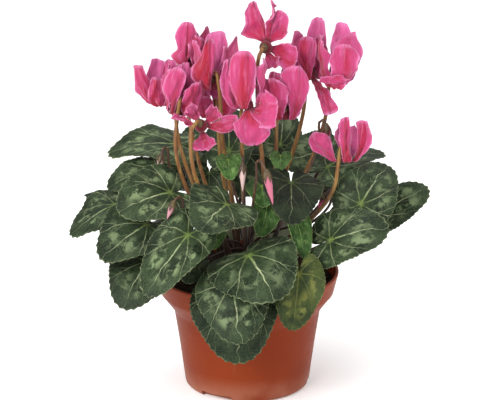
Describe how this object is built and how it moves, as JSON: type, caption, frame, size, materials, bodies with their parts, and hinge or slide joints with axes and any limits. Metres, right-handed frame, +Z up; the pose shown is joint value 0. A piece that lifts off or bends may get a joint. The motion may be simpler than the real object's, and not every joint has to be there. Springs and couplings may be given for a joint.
{
  "type": "potted cyclamen",
  "caption": "Flowering cyclamen in a round plastic pot: marbled heart-shaped leaves on long stalks, nodding pink blooms with swept-back petals, buds, a corky tuber and dark peat.",
  "frame": {"origin": "middle of the pot's underside, on the surface it stands on", "axes": "+Z up, -Y towards the viewer of the picture, +X to that viewer's right"},
  "size_m": [0.2511, 0.1983, 0.2778],
  "materials": {
    "pot": "satin",
    "soil": "matte",
    "tuber": "matte",
    "leaf": "matte",
    "young_leaf": "matte",
    "petal": "matte",
    "flower_stalk": "matte"
  },
  "bodies": {
    "root": {"pot": "pot", "soil": "soil", "tuber": "tuber", "leaf_01": "leaf", "leaf_02": "leaf", "leaf_03": "leaf", "leaf_04": "leaf", "leaf_05": "leaf", "leaf_06": "leaf", "leaf_07": "leaf", "leaf_08": "leaf", "leaf_09": "leaf", "leaf_10": "leaf", "leaf_11": "leaf", "leaf_12": "leaf", "leaf_13": "leaf", "leaf_14": "leaf", "leaf_15": "leaf", "leaf_16": "leaf", "leaf_17": "leaf", "leaf_18": "leaf", "leaf_19": "leaf", "leaf_20": "leaf", "leaf_21": "leaf", "leaf_22": "leaf", "leaf_23": "leaf", "leaf_24": "leaf", "leaf_25": "leaf", "leaf_26": "leaf", "leaf_27": "leaf", "leaf_28": "leaf", "leaf_29": "leaf", "young_leaves": "young_leaf", "bloom_01": "petal", "stalk_01": "flower_stalk", "bloom_02": "petal", "stalk_02": "flower_stalk", "bloom_03": "petal", "stalk_03": "flower_stalk", "bloom_04": "petal", "stalk_04": "flower_stalk", "bloom_05": "petal", "stalk_05": "flower_stalk", "bloom_06": "petal", "stalk_06": "flower_stalk", "bloom_07": "petal", "stalk_07": "flower_stalk", "bloom_08": "petal", "stalk_08": "flower_stalk", "bloom_09": "petal", "stalk_09": "flower_stalk", "bloom_10": "petal", "stalk_10": "flower_stalk", "bloom_11": "petal", "stalk_11": "flower_stalk", "bloom_12": "petal", "stalk_12": "flower_stalk", "buds_left": "flower_stalk", "buds_front": "flower_stalk", "buds_right": "flower_stalk"}
  },
  "joints": []
}
